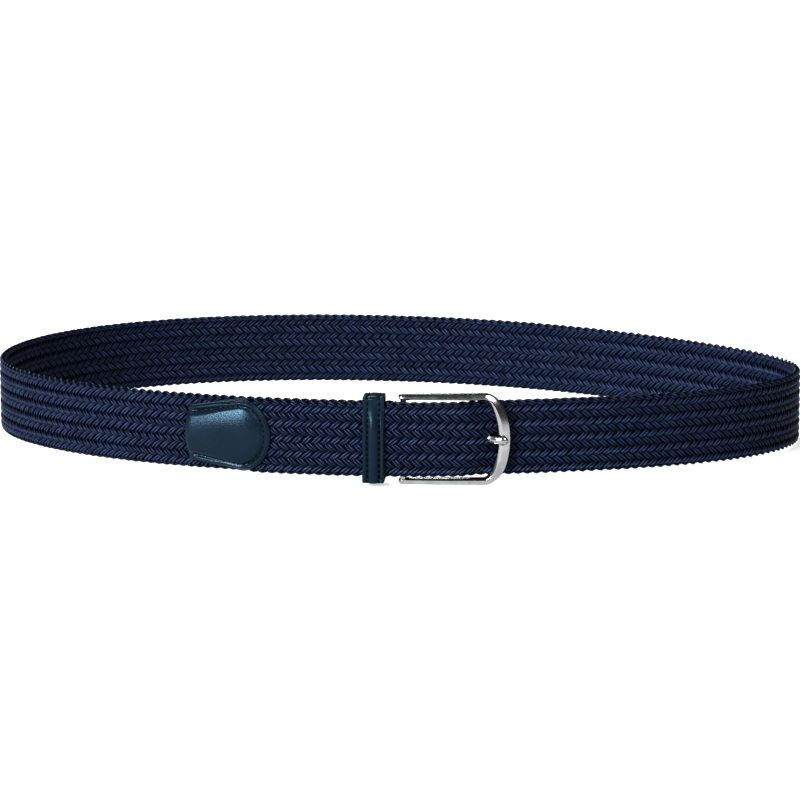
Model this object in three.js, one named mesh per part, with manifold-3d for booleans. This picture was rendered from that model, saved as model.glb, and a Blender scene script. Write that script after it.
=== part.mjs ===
// An elastic stretch belt, fastened and standing on its edge as a closed loop.
// Every piece is drawn flat first: X runs along the strap, Y points into the loop,
// Z is the height above the strap's middle. toLoop then bends it onto the loop's plan.
import * as THREE from 'three';
import { mergeVertices } from 'three/addons/utils/BufferGeometryUtils.js';
import Module from 'manifold-3d';

const wasm = await Module();
wasm.setup();

// Braided strap (all lengths in mm)
const STRAP_WIDTH = 35;
const STRAP_THICKNESS = 3.2;
const STRAP_CROWN = 0.1;
const STRAP_EDGE = 0.6;
const FINE_STEP = 3.2;
const COARSE_STEP = 10;

// Plan of the loop: an ellipse times a bulge factor at even headings, counter-clockwise from +X
const LOOP_HALF_LENGTH = 195.2;
const LOOP_HALF_DEPTH = 122;
const BULGE = [
  0.981, 0.865, 0.837, 0.89, 0.986, 1.082, 1.092, 1.035,
  0.996, 0.946, 0.939, 0.982, 1.029, 1.045, 1.067, 1.062,
];
const FRONT_HEADING = 270;
const PLAN_STEPS = 2880;

// Fits between pieces
const GAP = 0.3;
const LEATHER = 1.0;
const TOP_RAISE = 0.3;

// Buckle: a D frame with a bar across its open end, and a prong that rests on its bow
const BUCKLE_FROM_FRONT = 1.0;
const BUCKLE_LENGTH = 51.3;
const BUCKLE_SIDE_PLAY = 0.8;
const BUCKLE_SAG = 0.45;
const FRAME_THICKNESS = 3.2;
const ARM_END_WIDTH = 3.15;
const ARM_WIDTH = 3.4;
const BOW_WIDTH = 5.6;
const BOW_DEPTH = 12;
const BOW_WIDENING = 55;
const BOW_PLAY = 1.2;
const BAR_INSET = 2.2;
const BAR_RADIUS = 1.4;
const PRONG_WIDTH = 3.8;
const PRONG_TIP_WIDTH = 3.5;
const PRONG_THICKNESS = 2.0;
const PRONG_TIP_THICKNESS = 1.2;
const PRONG_ROUND = 1.8;
const PRONG_OVERLAP = 4.1;
const PRONG_SEAT = 0.6;
const PRONG_STRAIGHT_STEPS = 20;
const PRONG_ROUND_STEPS = 4;
const PRONG_BLUNT = 80;

// Chape: the leather folded round the bar and over both faces of the strap's end
const CHAPE_LENGTH = 24;
const CHAPE_INSET = 1.0;

// Keeper: a leather loop round both layers of the strap
const KEEPER_FROM_BAR = 13.3;
const KEEPER_WIDTH = 9.8;
const KEEPER_LEATHER = 1.6;
const KEEPER_PLAY = 1.35;
const KEEPER_RAISE = 0.3;
const KEEPER_EDGE = 0.35;
const KEEPER_CORNER = 0.8;

// Tip: the leather folded over the strap's free end
const TIP_FROM_BAR = 101.5;
const TIP_LENGTH = 40.6;
const TIP_ROUND = 14;
const TIP_ROUND_SWEEP = 1.45;
const TIP_HEIGHT = 33.9;
const TIP_FOLD_HEIGHT = 25.4;
const TIP_FOLD_BOW = 1.0;
const TIP_BOW_REACH = 6;
const TIP_FOLD_ROUND = 3;
const TIP_FOLD_SHARE = 0.6;
const TIP_SHOULDER = 2.8;
const TIP_SHOULDER_OUT = 2;
const TIP_PUFF = 0.9;
const NECK_WIDTH = 20;
const NECK_LENGTH = 36;

// How the strap dives under the bow: first at its edges, last in the middle
const DIVE_LENGTH = 12.5;
const DIVE_BEFORE_END = 16.6;
const DIVE_EDGE_LEAD = 10;

// How far each side of the fastening the strap stands clear of the surface
const LIFT_REACH = 260;

// Layers, measured outwards from the middle of the lower strap
const HALF_WIDTH = STRAP_WIDTH / 2;
const HALF_THICKNESS = STRAP_THICKNESS / 2;
const LEAF_IN = HALF_THICKNESS + GAP;
const LEAF_OUT = LEAF_IN + LEATHER;
const TOP_IN = LEAF_OUT + GAP;
const TOP_MIDDLE = TOP_IN + HALF_THICKNESS;
const TOP_OUT = TOP_IN + STRAP_THICKNESS;
const BOW_MIDDLE = HALF_THICKNESS + BOW_PLAY + FRAME_THICKNESS / 2;
const BOW_OUT = BOW_MIDDLE + FRAME_THICKNESS / 2;

// Heights and places that follow
const BUCKLE_INNER_HALF = HALF_WIDTH + BUCKLE_SIDE_PLAY;
const BUCKLE_OUTER_HALF = BUCKLE_INNER_HALF + ARM_WIDTH;
const KEEPER_INNER_HALF = HALF_WIDTH + KEEPER_PLAY;
const KEEPER_OUTER_HALF = KEEPER_INNER_HALF + KEEPER_LEATHER;
const ARM_END_HALF = BUCKLE_INNER_HALF + ARM_END_WIDTH + BUCKLE_SAG;
const LIFT = Math.max(BUCKLE_OUTER_HALF, ARM_END_HALF, KEEPER_OUTER_HALF - KEEPER_RAISE) - HALF_WIDTH;
const BAR = BUCKLE_FROM_FRONT + BAR_INSET;
const BUCKLE_END = BUCKLE_FROM_FRONT + BUCKLE_LENGTH;
const KEEPER_MIDDLE = BAR - KEEPER_FROM_BAR;
const LIFT_FROM = KEEPER_MIDDLE - KEEPER_WIDTH / 2;
const TIP_FOLD = BAR - TIP_FROM_BAR;
const STRAP_START = TIP_FOLD + LEATHER + GAP;

function clamp01(value) {
  return Math.min(Math.max(value, 0), 1);
}

function ease(value) {
  const share = clamp01(value);
  return share * share * (3 - 2 * share);
}

function mix(from, to, share) {
  return from + (to - from) * share;
}

// Plan of the loop

function bulgeAt(heading) {
  const place = (heading / 360) * BULGE.length;
  const row = Math.floor(place);
  const f = place - row;
  const weights = [(1 - f) ** 3, 3 * f ** 3 - 6 * f ** 2 + 4, -3 * f ** 3 + 3 * f ** 2 + 3 * f + 1, f ** 3];
  const value = (k) => BULGE[(((row + k - 1) % BULGE.length) + BULGE.length) % BULGE.length];
  return weights.reduce((sum, weight, k) => sum + (weight / 6) * value(k), 0);
}

function planPoint(heading) {
  const angle = THREE.MathUtils.degToRad(heading);
  const bulge = bulgeAt(heading);
  const onEllipse = new THREE.Vector2(LOOP_HALF_LENGTH * Math.cos(angle), LOOP_HALF_DEPTH * Math.sin(angle));
  return onEllipse.multiplyScalar(bulge);
}

function measurePlan() {
  const lengths = [0];
  let before = planPoint(FRONT_HEADING);
  for (let step = 1; step <= PLAN_STEPS; step += 1) {
    const point = planPoint(FRONT_HEADING + (360 * step) / PLAN_STEPS);
    lengths.push(lengths[step - 1] + point.distanceTo(before));
    before = point;
  }
  return lengths;
}

const planLengths = measurePlan();
const LOOP_LENGTH = planLengths[PLAN_STEPS];

function headingAt(along) {
  const wanted = THREE.MathUtils.euclideanModulo(along, LOOP_LENGTH);
  let low = 0;
  let high = PLAN_STEPS;
  while (high - low > 1) {
    const middle = (low + high) >> 1;
    if (planLengths[middle] > wanted) {
      high = middle;
    } else {
      low = middle;
    }
  }
  const share = (wanted - planLengths[low]) / (planLengths[high] - planLengths[low]);
  return FRONT_HEADING + (360 * (low + share)) / PLAN_STEPS;
}

function liftAt(along) {
  const near = THREE.MathUtils.euclideanModulo(along + LOOP_LENGTH / 2, LOOP_LENGTH) - LOOP_LENGTH / 2;
  const past = Math.max(LIFT_FROM - near, near - BUCKLE_END, 0);
  return LIFT * Math.cos((Math.PI / 2) * clamp01(past / LIFT_REACH)) ** 2;
}

function toLoop(x, y, z) {
  const heading = headingAt(x);
  const point = planPoint(heading);
  const run = planPoint(heading + 0.01).sub(planPoint(heading - 0.01)).normalize();
  return [point.x - run.y * y, point.y + run.x * y, z + HALF_WIDTH + liftAt(x)];
}

// The buckle hangs a little lower at its bar than at its bow
function toBuckle(x, y, z) {
  return toLoop(x, y, z - BUCKLE_SAG * ((BUCKLE_END - x) / BUCKLE_LENGTH));
}

// Solids

function reshape(geometry, place) {
  const position = geometry.attributes.position;
  for (let i = 0; i < position.count; i += 1) {
    position.setXYZ(i, ...place(position.getX(i), position.getY(i), position.getZ(i)));
  }
  return geometry;
}

function closedMesh(geometry) {
  const bare = geometry.clone();
  bare.deleteAttribute('normal');
  bare.deleteAttribute('uv');
  return mergeVertices(bare, 1e-4);
}

function toSolid(geometry) {
  const merged = closedMesh(geometry);
  return new wasm.Manifold(new wasm.Mesh({
    numProp: 3,
    vertProperties: new Float32Array(merged.attributes.position.array),
    triVerts: new Uint32Array(merged.index.array),
  }));
}

function toGeometry(solid) {
  const mesh = solid.getMesh();
  const geometry = new THREE.BufferGeometry();
  geometry.setAttribute('position', new THREE.BufferAttribute(mesh.vertProperties, 3));
  geometry.setIndex(new THREE.BufferAttribute(mesh.triVerts, 1));
  geometry.computeVertexNormals();
  return geometry;
}

function shapeThrough(points) {
  return new THREE.Shape(points.map(([x, y]) => new THREE.Vector2(x, y)));
}

// A bar of one section whose steps are then placed one by one: place(section x, section y, step)
function stepped(shape, steps, place) {
  const geometry = new THREE.ExtrudeGeometry(shape, { depth: steps, steps, bevelEnabled: false });
  return reshape(geometry, (x, y, z) => place(x, y, Math.round(z)));
}

// Strap

function strapHalfWidth(along) {
  return mix(NECK_WIDTH / 2, HALF_WIDTH, ease((along - TIP_FOLD) / NECK_LENGTH));
}

function strapOut(along, heightShare) {
  const start = BUCKLE_END - DIVE_BEFORE_END - DIVE_EDGE_LEAD * heightShare * heightShare;
  return TOP_MIDDLE * (1 - ease((along - start) / DIVE_LENGTH));
}

function strapSection(grow) {
  const halfWidth = HALF_WIDTH + grow;
  const columns = [-1, -0.68, -0.34, 0, 0.34, 0.68, 1];
  const flat = halfWidth - STRAP_EDGE;
  const edge = HALF_THICKNESS - STRAP_CROWN - STRAP_EDGE + grow;
  const face = columns.map((share) => [share * flat, HALF_THICKNESS - STRAP_CROWN * share * share + grow]);
  const front = [[-halfWidth, edge], ...face, [halfWidth, edge]];
  const back = front.map(([height, out]) => [height, -out]).reverse();
  return shapeThrough([...front, ...back]);
}

function strapGeometry(grow) {
  const start = STRAP_START - grow;
  const end = LOOP_LENGTH + BAR - BAR_RADIUS - GAP * 2;
  const fineEnd = BUCKLE_END + DIVE_EDGE_LEAD;
  const fineSteps = Math.ceil((fineEnd - start) / FINE_STEP);
  const coarseSteps = Math.ceil((end - fineEnd) / COARSE_STEP);
  const station = (step) => (step <= fineSteps
    ? mix(start, fineEnd, step / fineSteps)
    : mix(fineEnd, end, (step - fineSteps) / coarseSteps));
  return stepped(strapSection(grow), fineSteps + coarseSteps, (height, out, step) => {
    const along = station(step);
    const outMiddle = strapOut(along, height / HALF_WIDTH);
    const z = height * ((strapHalfWidth(along) + grow) / (HALF_WIDTH + grow));
    return toLoop(along, -out - outMiddle, z + TOP_RAISE * (outMiddle / TOP_MIDDLE));
  });
}

// Buckle

function frameOut(along) {
  return (BOW_MIDDLE * (along - BAR)) / (BUCKLE_END - BOW_WIDTH / 2 - BAR);
}

function frameStations() {
  const armSteps = 5;
  const bowSteps = 26;
  const roundSteps = 3;
  const firstRound = 0.4;
  const bowStart = BUCKLE_END - BOW_DEPTH;
  const armMiddle = BUCKLE_OUTER_HALF - ARM_WIDTH / 2;
  const reach = BOW_DEPTH - BOW_WIDTH / 2;
  const stations = [];
  const roundEnd = ARM_END_WIDTH / 2;
  for (let step = 0; step < roundSteps; step += 1) {
    const angle = (Math.PI / 2) * ((step + firstRound) / roundSteps);
    stations.push({ x: BUCKLE_FROM_FRONT + roundEnd * (1 - Math.cos(angle)), z: -BUCKLE_INNER_HALF - roundEnd,
      turn: 0, width: ARM_END_WIDTH, size: Math.sin(angle) });
  }
  for (let step = 0; step < armSteps; step += 1) {
    const x = mix(BUCKLE_FROM_FRONT + roundEnd, bowStart, step / armSteps);
    const width = mix(ARM_END_WIDTH, ARM_WIDTH, step / armSteps);
    stations.push({ x, z: -BUCKLE_INNER_HALF - width / 2, turn: 0, width, size: 1 });
  }
  for (let step = 0; step <= bowSteps / 2; step += 1) {
    const angle = (Math.PI * step) / bowSteps;
    const width = mix(ARM_WIDTH, BOW_WIDTH, ease(angle / THREE.MathUtils.degToRad(BOW_WIDENING)));
    stations.push({ x: bowStart + reach * Math.sin(angle), z: -armMiddle * Math.cos(angle),
      turn: Math.atan2(armMiddle * Math.sin(angle), reach * Math.cos(angle)), width, size: 1 });
  }
  const upper = stations.slice(0, -1).reverse();
  return stations.concat(upper.map((row) => ({ ...row, z: -row.z, turn: Math.PI - row.turn })));
}

// Shares of the frame's width, towards its inner side, and of its thickness, outwards
const FRAME_SECTION = [
  [0.5, 0.14], [0.5, 0.55], [0.4, 0.78], [0.24, 0.96], [0.05, 1.0], [-0.18, 0.93],
  [-0.36, 0.76], [-0.47, 0.52], [-0.5, 0.25], [-0.42, 0.06], [-0.25, 0.0], [0.42, 0.0],
];

function frameSolid() {
  const stations = frameStations();
  const ring = stepped(shapeThrough(FRAME_SECTION), stations.length - 1, (inner, out, step) => {
    const row = stations[step];
    const across = inner * row.width * row.size;
    const thick = (out - 0.5) * FRAME_THICKNESS * row.size;
    const x = row.x - across * Math.sin(row.turn);
    return toBuckle(x, -frameOut(row.x) - thick, row.z + across * Math.cos(row.turn));
  });
  const barLength = 2 * BUCKLE_INNER_HALF + ARM_END_WIDTH;
  const bar = new THREE.CylinderGeometry(BAR_RADIUS, BAR_RADIUS, barLength, 16, 1);
  bar.rotateX(Math.PI / 2);
  bar.translate(BAR, 0, 0);
  return toSolid(ring).add(toSolid(reshape(bar, toBuckle))).subtract(prongSolid(GAP));
}

// Prong: shares of its length from the bar, and of its height where it rests on the bow
const PRONG_ROUTE = [
  { along: 0.0, out: 0.0 }, { along: 0.12, out: 0.18 }, { along: 0.34, out: 0.25 },
  { along: 0.56, out: 0.27 }, { along: 0.7, out: 0.31 }, { along: 0.78, out: 0.45 },
  { along: 0.835, out: 0.66 }, { along: 0.885, out: 0.87 }, { along: 0.935, out: 0.985 },
  { along: 1.0, out: 0.985 },
];
const PRONG_SECTION = [
  [1.0, -0.35], [1.0, 0.3], [0.6, 0.8], [0.0, 1.0], [-0.6, 0.8], [-1.0, 0.3],
  [-1.0, -0.35], [-0.6, -0.9], [0.6, -0.9],
];

function prongCurve() {
  const length = BUCKLE_END - BOW_WIDTH + PRONG_OVERLAP - BAR;
  const rest = BOW_OUT - PRONG_SEAT + GAP + PRONG_THICKNESS / 2;
  return new THREE.CatmullRomCurve3(PRONG_ROUTE.map(
    ({ along, out }) => new THREE.Vector3(BAR + along * length, out * rest, 0),
  ), false, 'centripetal');
}

function prongSolid(grow) {
  const curve = prongCurve();
  const length = curve.getLength();
  const steps = PRONG_STRAIGHT_STEPS + PRONG_ROUND_STEPS;
  const shank = stepped(shapeThrough(PRONG_SECTION), steps, (across, out, step) => {
    const roundShare = clamp01((step - PRONG_STRAIGHT_STEPS) / PRONG_ROUND_STEPS);
    const turn = roundShare * THREE.MathUtils.degToRad(PRONG_BLUNT);
    const share = Math.min(step / PRONG_STRAIGHT_STEPS, 1) * (1 - PRONG_ROUND / length)
      + (PRONG_ROUND / length) * Math.sin(turn);
    const point = curve.getPointAt(share);
    const run = curve.getTangentAt(share);
    const blunt = Math.cos(turn);
    const halfThick = mix(PRONG_TIP_THICKNESS, PRONG_THICKNESS, blunt) / 2;
    const halfWide = (mix(PRONG_WIDTH, PRONG_TIP_WIDTH, share) / 2) * blunt;
    const thick = out * halfThick + Math.sign(out) * grow;
    const wide = across * halfWide + Math.sign(across) * grow;
    const stretch = step === 0 ? -grow : (step === steps ? grow : 0);
    return toBuckle(point.x - run.y * thick + stretch, -point.y - run.x * thick, wide);
  });
  const eyeInner = BAR_RADIUS + GAP;
  const eye = new THREE.Shape();
  eye.absarc(0, 0, LEAF_OUT + grow, 0, Math.PI * 2);
  if (grow === 0) {
    eye.holes.push(new THREE.Path().absarc(0, 0, eyeInner, 0, Math.PI * 2, true));
  }
  const eyeWidth = PRONG_WIDTH + 2 * grow;
  const ring = new THREE.ExtrudeGeometry(eye, { depth: eyeWidth, curveSegments: 10, bevelEnabled: false });
  ring.translate(BAR, 0, -eyeWidth / 2);
  const solid = toSolid(shank).add(toSolid(reshape(ring, toBuckle)));
  return grow === 0 ? solid.subtract(barRoom(eyeInner)) : solid.subtract(barRoom(BAR_RADIUS));
}

function barRoom(radius) {
  const room = new THREE.CylinderGeometry(radius, radius, 2 * BUCKLE_OUTER_HALF, 20, 1);
  room.rotateX(Math.PI / 2);
  room.translate(BAR, 0, 0);
  return toSolid(reshape(room, toBuckle));
}

// Leather

function chapeStations() {
  const leafSteps = 6;
  const foldSteps = 10;
  const middle = (LEAF_IN + LEAF_OUT) / 2;
  const stations = [];
  for (let step = 0; step < leafSteps; step += 1) {
    stations.push({ x: BAR - CHAPE_LENGTH * (1 - step / leafSteps), out: -middle, turn: -Math.PI / 2 });
  }
  for (let step = 0; step <= foldSteps; step += 1) {
    const turn = Math.PI * (step / foldSteps - 0.5);
    stations.push({ x: BAR + middle * Math.cos(turn), out: middle * Math.sin(turn), turn });
  }
  const front = stations.slice(0, leafSteps).reverse();
  return stations.concat(front.map((row) => ({ ...row, out: middle, turn: Math.PI / 2 })));
}

function chapeSolid() {
  const half = HALF_WIDTH - CHAPE_INSET;
  const stations = chapeStations();
  const face = LEATHER / 2;
  const sheet = shapeThrough([[-half, -face], [half, -face], [half, face], [-half, face]]);
  const leather = stepped(sheet, stations.length - 1, (height, thick, step) => {
    const row = stations[step];
    return toLoop(row.x + thick * Math.cos(row.turn), -row.out - thick * Math.sin(row.turn), -height);
  });
  const slotWidth = PRONG_WIDTH + 4 * GAP;
  const slotDepth = 3 * LEAF_OUT;
  const slot = new THREE.BoxGeometry(slotDepth + LEAF_OUT, slotDepth, slotWidth);
  slot.translate(BAR + LEAF_OUT / 2, 0, 0);
  return toSolid(leather).subtract(toSolid(reshape(slot, toBuckle)));
}

function roundedRectangle(path, left, right, low, high, radius) {
  path.moveTo(left + radius, low);
  path.lineTo(right - radius, low);
  path.absarc(right - radius, low + radius, radius, -Math.PI / 2, 0, false);
  path.lineTo(right, high - radius);
  path.absarc(right - radius, high - radius, radius, 0, Math.PI / 2, false);
  path.lineTo(left + radius, high);
  path.absarc(left + radius, high - radius, radius, Math.PI / 2, Math.PI, false);
  path.lineTo(left, low + radius);
  path.absarc(left + radius, low + radius, radius, Math.PI, Math.PI * 1.5, false);
  return path;
}

function keeperGeometry() {
  const inner = LEAF_OUT + GAP;
  const outer = TOP_OUT + GAP;
  const wall = KEEPER_LEATHER - KEEPER_EDGE;
  const high = KEEPER_INNER_HALF;
  const ring = roundedRectangle(new THREE.Shape(), -high - wall, high + wall,
    -outer - wall, inner + wall, wall + KEEPER_CORNER);
  const room = roundedRectangle(new THREE.Path(), -high - KEEPER_EDGE, high + KEEPER_EDGE,
    -outer - KEEPER_EDGE, inner + KEEPER_EDGE, KEEPER_CORNER);
  ring.holes.push(room);
  const depth = KEEPER_WIDTH - 2 * KEEPER_EDGE;
  const loop = new THREE.ExtrudeGeometry(ring, { depth, steps: 2, curveSegments: 4, bevelEnabled: true,
    bevelThickness: KEEPER_EDGE, bevelSize: KEEPER_EDGE, bevelSegments: 1 });
  loop.rotateY(Math.PI / 2);
  loop.translate(KEEPER_MIDDLE - depth / 2, 0, KEEPER_RAISE);
  return reshape(loop, toLoop);
}

function tipHalfHeight(distance) {
  const roundStart = TIP_LENGTH - TIP_ROUND;
  if (distance <= roundStart) {
    return mix(TIP_FOLD_HEIGHT, TIP_HEIGHT, distance / roundStart) / 2;
  }
  return (TIP_HEIGHT / 2) * Math.sqrt(Math.max(1 - ((distance - roundStart) / TIP_ROUND) ** 2, 0));
}

function tipSolid() {
  const sideSteps = 9;
  const roundSteps = 8;
  const steps = sideSteps + roundSteps;
  const columns = [-1, -0.93, -0.84, -0.7, -0.4, 0, 0.4, 0.7, 0.84, 0.93, 1];
  const front = columns.map((share) => [share, 1.5 - 0.5 * share * share]);
  const distanceAt = (step) => (step <= sideSteps
    ? ((TIP_LENGTH - TIP_ROUND) * step) / sideSteps
    : TIP_LENGTH - TIP_ROUND * (1 - Math.sin((TIP_ROUND_SWEEP * (step - sideSteps)) / roundSteps)));
  const pillow = stepped(shapeThrough([...front, [1, 0], [-1, 0]]), steps, (share, out, step) => {
    const distance = distanceAt(step);
    const height = share * tipHalfHeight(distance);
    const bow = TIP_FOLD_BOW * (1 - share * share) * (1 - clamp01(distance / TIP_BOW_REACH));
    const along = TIP_FOLD + distance - bow;
    const shoulder = ease((strapHalfWidth(along) + TIP_SHOULDER_OUT - Math.abs(height)) / TIP_SHOULDER);
    const cover = shoulder * mix(TIP_FOLD_SHARE, 1, ease(distance / TIP_FOLD_ROUND));
    const dome = TIP_PUFF * (1 - share * share) * Math.sin(Math.PI * clamp01(distance / TIP_LENGTH));
    const face = mix(TOP_MIDDLE + LEATHER + GAP, TOP_OUT + GAP + LEATHER, cover) + dome;
    return toLoop(along, -(out > 0 ? face : LEAF_IN), height + TOP_RAISE);
  });
  return toSolid(pillow).subtract(toSolid(strapGeometry(GAP)));
}

// Materials and assembly

const braid = new THREE.MeshStandardMaterial({ color: 0x1c2442, roughness: 0.85, metalness: 0 });
const leather = new THREE.MeshStandardMaterial({ color: 0x15242f, roughness: 0.42, metalness: 0 });
const metal = new THREE.MeshStandardMaterial({ color: 0xc6c8ca, roughness: 0.28, metalness: 1 });

const belt = new THREE.Group();

function addPiece(name, geometry, material) {
  const mesh = new THREE.Mesh(geometry, material);
  mesh.name = name;
  belt.add(mesh);
}

addPiece('strap', toGeometry(toSolid(strapGeometry(0)).subtract(prongSolid(GAP))), braid);
addPiece('tip_leather', toGeometry(tipSolid()), leather);
addPiece('chape_leather', toGeometry(chapeSolid()), leather);
addPiece('keeper_loop', toGeometry(toSolid(keeperGeometry())), leather);
addPiece('buckle_frame', toGeometry(frameSolid()), metal);
addPiece('buckle_prong', toGeometry(prongSolid(0)), metal);

// The origin is the middle of the footprint, on the surface that the belt stands on
const box = new THREE.Box3().setFromObject(belt);
const middle = box.getCenter(new THREE.Vector3());
belt.position.set(-middle.x, -middle.y, -box.min.z);

export default belt;
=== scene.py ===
import math

import bpy
import numpy as np
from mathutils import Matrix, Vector


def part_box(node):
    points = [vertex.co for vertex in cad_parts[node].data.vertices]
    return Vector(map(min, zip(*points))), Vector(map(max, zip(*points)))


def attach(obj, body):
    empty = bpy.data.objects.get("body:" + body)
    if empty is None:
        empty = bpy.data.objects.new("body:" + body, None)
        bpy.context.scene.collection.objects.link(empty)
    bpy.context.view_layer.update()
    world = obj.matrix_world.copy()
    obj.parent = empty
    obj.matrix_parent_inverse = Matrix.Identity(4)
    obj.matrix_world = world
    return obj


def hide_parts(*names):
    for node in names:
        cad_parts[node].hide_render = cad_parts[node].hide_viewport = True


bl_info = {
    "name": "Elastic Stretch Belt",
    "version": (1, 0, 0),
    "blender": (4, 5, 0),
    "location": "View3D > Sidebar > Belt",
    "description": "Braids, stitches and polishes a fastened stretch belt round its measured solids",
    "category": "Add Mesh",
}

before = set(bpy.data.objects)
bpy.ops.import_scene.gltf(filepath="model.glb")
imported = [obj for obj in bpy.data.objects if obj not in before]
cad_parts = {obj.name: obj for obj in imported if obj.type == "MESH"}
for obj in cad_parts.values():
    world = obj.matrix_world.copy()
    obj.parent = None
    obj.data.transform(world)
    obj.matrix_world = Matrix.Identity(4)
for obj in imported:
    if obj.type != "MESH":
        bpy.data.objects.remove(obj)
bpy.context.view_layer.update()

# Lengths below are in millimetres, as in the solids; meshes are made in metres
MM = 0.001

# Strap and plan of the loop, the same values as the solids
STRAP_WIDTH = 35.0
STRAP_THICKNESS = 3.2
LOOP_HALF_LENGTH = 195.2
LOOP_HALF_DEPTH = 122.0
BULGE = np.array([
    0.981, 0.865, 0.837, 0.89, 0.986, 1.082, 1.092, 1.035,
    0.996, 0.946, 0.939, 0.982, 1.029, 1.045, 1.067, 1.062,
])
FRONT_HEADING = 270.0
PLAN_STEPS = 2880
LIFT_REACH = 260.0
GAP = 0.3
LEATHER = 1.0
TOP_RAISE = 0.3

# Braid: lengths, and shares of a cord's radius, of a crossing row or of full light; LIT_FROM, LIT_SPAN, LIT_FALLOFF
# and FALLING_SHADE shape the highlight and shade painted into the cords' colour
CORE_HALF = 0.25
CORE_INSET = 0.8
CORE_STEPS = 420
CORE_COLUMNS = 15
EDGE_FULLNESS = 0.3
CORD_PROUD = 0.2
CORD_WIDE = 1.03
CORD_HIGH = 0.97
PAIR_CLOSED = 0.8
PAIR_OPEN = 1.02
STEPS_PER_PITCH = 4
TURN_ROWS = 0.25
PARTING_REACH = 60.0
LIT_FROM = 0.2
LIT_SPAN = 0.95
LIT_FALLOFF = 4
FALLING_SHADE = 0.15
BRAID_GROUPS = 4

# Unevenness of the cords: size, waves for each millimetre, and shift from strand to strand
SWAYS = ((0.12, 0.31, 1.7), (0.1, 0.83, 4.1))
WOBBLE = (0.06, 0.9, 2.4)

# Buckle
BUCKLE_FROM_FRONT = 1.0
BUCKLE_LENGTH = 51.3
BUCKLE_SIDE_PLAY = 0.8
BUCKLE_SAG = 0.45
FRAME_THICKNESS = 3.2
ARM_END_WIDTH = 3.15
ARM_END_CUT = 0.12
ARM_WIDTH = 3.4
BOW_WIDTH = 5.6
BOW_DEPTH = 12.0
BOW_WIDENING = 55.0
BOW_PLAY = 1.2
BOW_CROWN = 1.0
BAR_INSET = 2.2
BAR_RADIUS = 1.4
PRONG_WIDTH = 3.8
PRONG_TIP_WIDTH = 3.5
PRONG_THICKNESS = 2.0
PRONG_TIP_THICKNESS = 1.2
PRONG_ROUND = 1.8
PRONG_OVERLAP = 4.1
PRONG_SEAT = 0.6
PRONG_COVER = 1.3
PRONG_COVER_PLACE = 41.5
PRONG_COVER_REACH = 2.6
PRONG_COVER_HALF = 3.2
PRONG_LIFT_FROM = 0.8
PRONG_LIFT_OVER = 0.18
PRONG_SEAT_REACH = 0.62
EYE_EDGE = 0.25

# Leather pieces
CHAPE_LENGTH = 24.0
CHAPE_INSET = 1.0
CHAPE_EDGE = 0.25
KEEPER_FROM_BAR = 13.3
KEEPER_WIDTH = 9.8
KEEPER_LEATHER = 1.6
KEEPER_PLAY = 1.35
KEEPER_RAISE = 0.3
KEEPER_CORNER = 0.2
KEEPER_LEAN = 2.6
KEEPER_LEAN_FROM = 3.0
KEEPER_LEAN_OVER = 14.0
KEEPER_SHOULDER = 2.2
KEEPER_SHOULDER_DROP = 0.6
KEEPER_FLAT_SHARE = 0.7
KEEPER_GROOVE = 0.3
KEEPER_GROOVE_REACH = 0.5
KEEPER_RIM = 0.35
KEEPER_RIM_REACH = 0.5
KEEPER_EDGE = 0.3
KEEPER_SEAM_DEPTH = 0.7
KEEPER_SEAM_FOOT = 1.2
TIP_FROM_BAR = 101.5
TIP_LENGTH = 40.6
TIP_ROUND = 14.0
TIP_HEIGHT = 33.9
TIP_FOLD_HEIGHT = 25.4
TIP_FOLD_BOW = 1.0
TIP_BOW_REACH = 6.0
TIP_FOLD_ROUND = 2.8
TIP_DOME_REACH = 12.0
TIP_STRAP_MARGIN = 1.0
TIP_STRAP_SLOPE = 3.5
TIP_SEWN_FROM = 2.0
TIP_SEWN_OVER = 3.0
TIP_SEAM_START = 4.0
TIP_LIP = 0.6
TIP_LIP_INSET = 1.5
TIP_LIP_REACH = 0.7
TIP_GROOVE = 0.9
TIP_GROOVE_REACH = 0.55
TIP_RIM = 0.35
TIP_RIM_REACH = 0.8
NECK_WIDTH = 20.0
NECK_LENGTH = 36.0

# Stitches: half of a stitch as a share of its pitch, and the thread's lengths
STITCH_HALF = 0.36
STITCH_RISE = 0.42
STITCH_SUNK = 0.22
THREAD_RADIUS = 0.3
THREAD_FLATNESS = 0.8
THREAD_TAPER = 1.15
THREAD_END = 0.1

# How the strap dives under the bow
DIVE_LENGTH = 12.5
DIVE_BEFORE_END = 16.6
DIVE_EDGE_LEAD = 10.0

# Layers, outwards from the middle of the lower strap, and places that follow
HALF_WIDTH = STRAP_WIDTH / 2
HALF_THICKNESS = STRAP_THICKNESS / 2
LEAF_IN = HALF_THICKNESS + GAP
LEAF_OUT = LEAF_IN + LEATHER
TOP_IN = LEAF_OUT + GAP
TOP_MIDDLE = TOP_IN + HALF_THICKNESS
TOP_OUT = TOP_IN + STRAP_THICKNESS
BOW_MIDDLE = HALF_THICKNESS + BOW_PLAY + FRAME_THICKNESS / 2
BOW_OUT = BOW_MIDDLE + FRAME_THICKNESS / 2
BUCKLE_INNER_HALF = HALF_WIDTH + BUCKLE_SIDE_PLAY
BUCKLE_OUTER_HALF = BUCKLE_INNER_HALF + ARM_WIDTH
KEEPER_INNER_HALF = HALF_WIDTH + KEEPER_PLAY
KEEPER_OUTER_HALF = KEEPER_INNER_HALF + KEEPER_LEATHER
ARM_END_HALF = BUCKLE_INNER_HALF + ARM_END_WIDTH + BUCKLE_SAG
LIFT = max(BUCKLE_OUTER_HALF, ARM_END_HALF, KEEPER_OUTER_HALF - KEEPER_RAISE) - HALF_WIDTH
BAR = BUCKLE_FROM_FRONT + BAR_INSET
BUCKLE_END = BUCKLE_FROM_FRONT + BUCKLE_LENGTH
KEEPER_MIDDLE = BAR - KEEPER_FROM_BAR
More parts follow.
